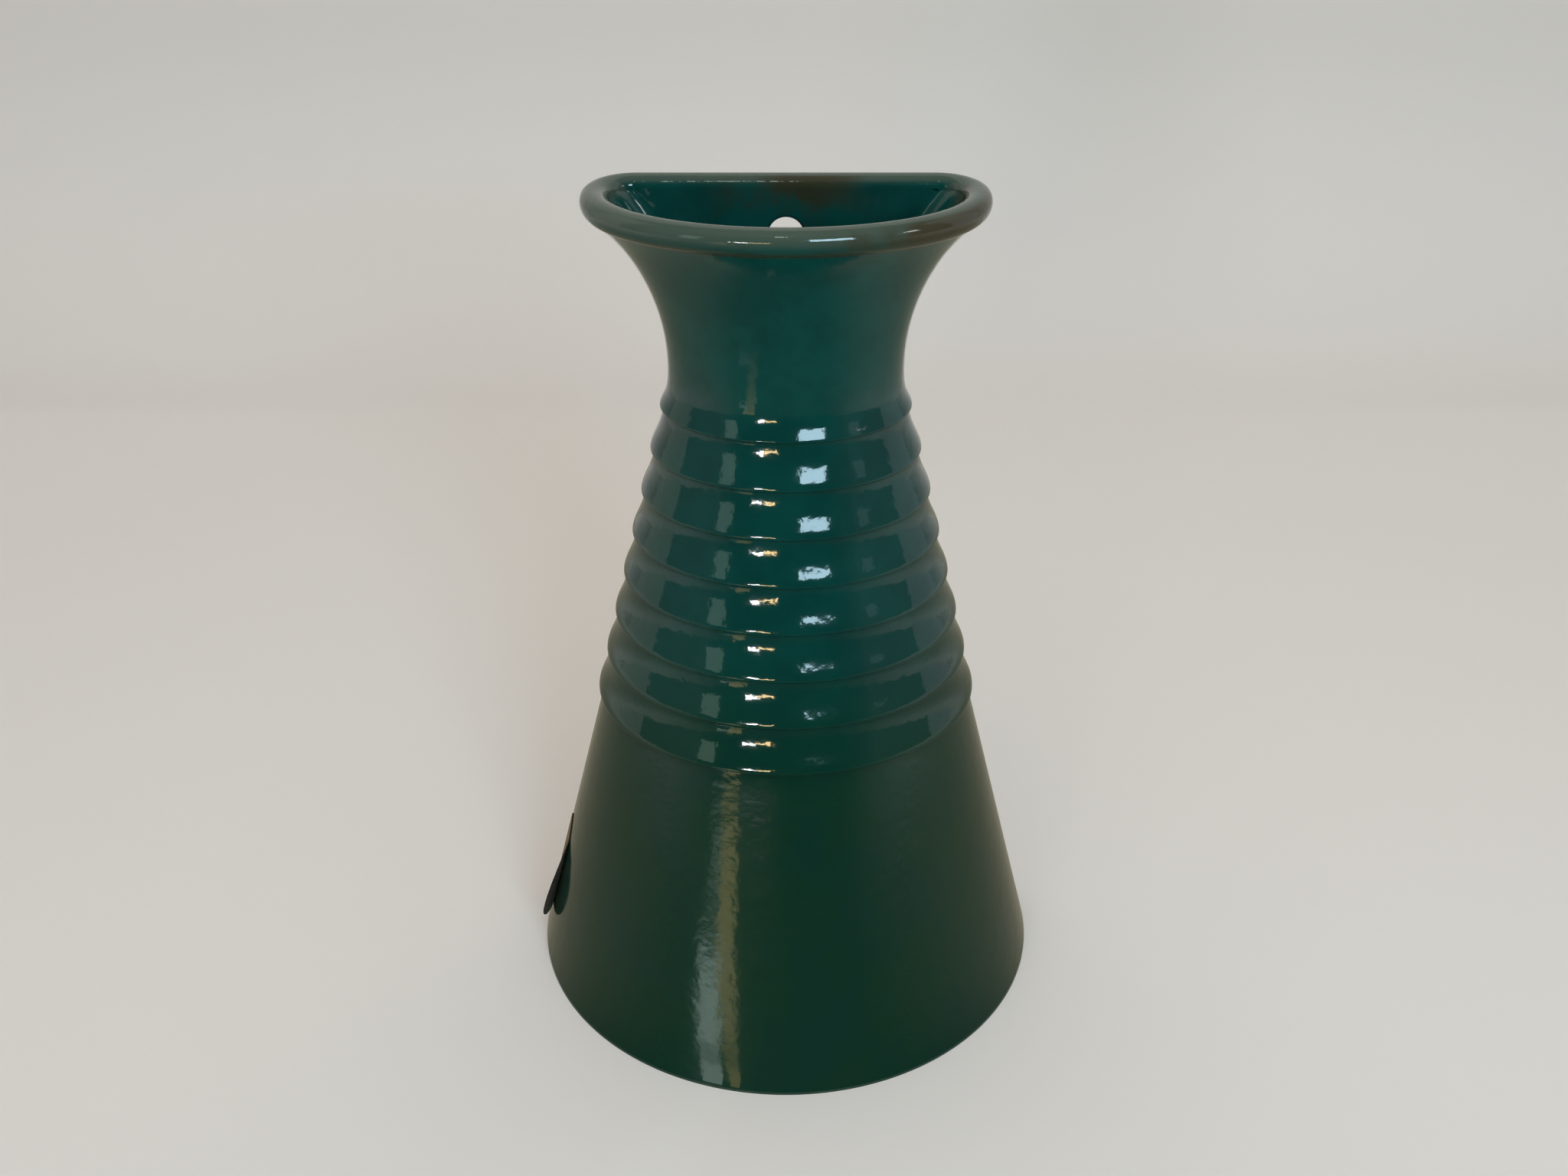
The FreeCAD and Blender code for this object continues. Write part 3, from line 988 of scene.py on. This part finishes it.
floor_and_backdrop()
card("floor_glow", [(x, y, CARD_LIFT) for x, y in around(FLOOR_X, FLOOR_Y)], floor_colour)
card("front_glow", [(x, STAGE_FRONT_Y, z) for x, z in around(FRONT_X, FRONT_Z)], front_colour)
card("side_left", [(-SIDE_X, y, z) for y, z in around(SIDE_Y, SIDE_Z)], (0.56, 0.56, 0.48, 1))
card("side_right", [(SIDE_X, y, z) for y, z in around(SIDE_Y, SIDE_Z)], (0.54, 0.56, 0.58, 1))

# White and gold streaks on the skirt
WHITE, GOLD = (0.8, 1.0, 0.92, 1), (1.0, 0.8, 0.35, 1)
WHITE_EDGES = ((-0.0223, -0.0715, -39, -43), (-0.0168, -0.0725, -29, -31))
GOLD_EDGES = ((-0.0145, -0.0730, -25.5, -33), (-0.0121, -0.0733, -21, -24.5))
SPOT_EDGES = ((-0.016, -0.055, -37.5, -37.5), (-0.014, -0.055, -31.5, -31.5))
fence("streak_white", *WHITE_EDGES, near=0.004, far=0.06, colour=WHITE, strength=2.3)
fence("streak_white_far", *WHITE_EDGES, near=0.06, far=0.27, colour=WHITE, strength=4.2)
fence("spot_white", *SPOT_EDGES, near=0.62, far=0.75, colour=WHITE, strength=3.0)
fence("streak_gold", *GOLD_EDGES, near=0.004, far=0.09, colour=GOLD, strength=1.5)
fence("streak_gold_far", *GOLD_EDGES, near=0.09, far=1.3, colour=GOLD, strength=2.6)

# Pale ends of the ribs, the mouth's right inner corner and the top edge of the back wall
upright("pale_left", start_y=-0.04, first=-48, last=-38, low=0.24, high=0.8,
        colour=(0.75, 1.0, 0.85, 1), strength=1.2)
upright("pale_right", start_y=-0.04, first=52, last=60, low=0.4, high=0.85,
        colour=(0.75, 0.95, 1.0, 1), strength=0.6)
upright("corner_right", start_y=0, first=57, last=63, low=0.66, high=0.84,
        colour=(1.0, 1.0, 1.0, 1), strength=10.0)
upright("edge_light", start_y=0, first=-5.5, last=-0.8, low=1.67, high=2.0,
        colour=(0.85, 1.0, 0.9, 1), strength=8.0)


def area(name, place, target, size, power, colour, glossy=True):
    data = bpy.data.lights.new(name, "AREA")
    data.shape = "RECTANGLE"
    data.size, data.size_y = size
    data.energy = power
    data.color = colour
    obj = bpy.data.objects.new(name, data)
    obj.location = place
    obj.rotation_mode = "QUATERNION"
    obj.rotation_quaternion = (Vector(target) - Vector(place)).to_track_quat("-Z", "Y")
    obj.visible_glossy = glossy
    bpy.context.scene.collection.objects.link(obj)


def lamp_at(name, azimuth, elevation, size, power, colour):
    """A lamp that the gloss shows, placed by its direction from the ribs: to the right, and up."""
    x, y, z = RIBS_PLACE
    a, e = math.radians(azimuth), math.radians(elevation)
    out = LAMP_DISTANCE * math.cos(e)
    place = (x + out * math.sin(a), y - out * math.cos(a), z + LAMP_DISTANCE * math.sin(e))
    area(name, place, RIBS_PLACE, size, power, colour)


area("soft_top", place=(0.0, -0.3, 1.5), target=(0, 0, 0.1), size=(1.6, 1.6),
     power=15.0, colour=(1, 0.97, 0.93), glossy=False)
lamp_at("window", azimuth=19.5, elevation=25, size=(0.44, 0.36), power=8.0, colour=(0.58, 0.84, 1.0))
lamp_at("lamp_white", azimuth=-19, elevation=3.5, size=(0.15, 0.07), power=1.8, colour=(1, 1, 1))
lamp_at("lamp_gold", azimuth=-11, elevation=2.5, size=(0.2, 0.05), power=0.9, colour=(1, 0.72, 0.35))

# Even grey light from all round
world = bpy.data.worlds.new("world")
bpy.context.scene.world = world
world.use_nodes = True
background = world.node_tree.nodes["Background"]
background.inputs["Color"].default_value = (0.5, 0.5, 0.5, 1)
background.inputs["Strength"].default_value = 0.35

# Camera as solved from the photograph: its place in metres, its pitch down in degrees, its lens
EYE = (-0.0005, -0.416, 0.347)
EYE_DOWN = 29.0
camera = bpy.data.cameras.new("camera")
camera.sensor_width = 36.0
camera.lens = 39.04
camera.clip_start = 0.01
camera.clip_end = 20
eye = bpy.data.objects.new("camera", camera)
eye.location = EYE
eye.rotation_euler = (math.radians(90 - EYE_DOWN), 0, 0)
bpy.context.scene.collection.objects.link(eye)
bpy.context.scene.camera = eye
bpy.context.scene.view_settings.view_transform = "Standard"
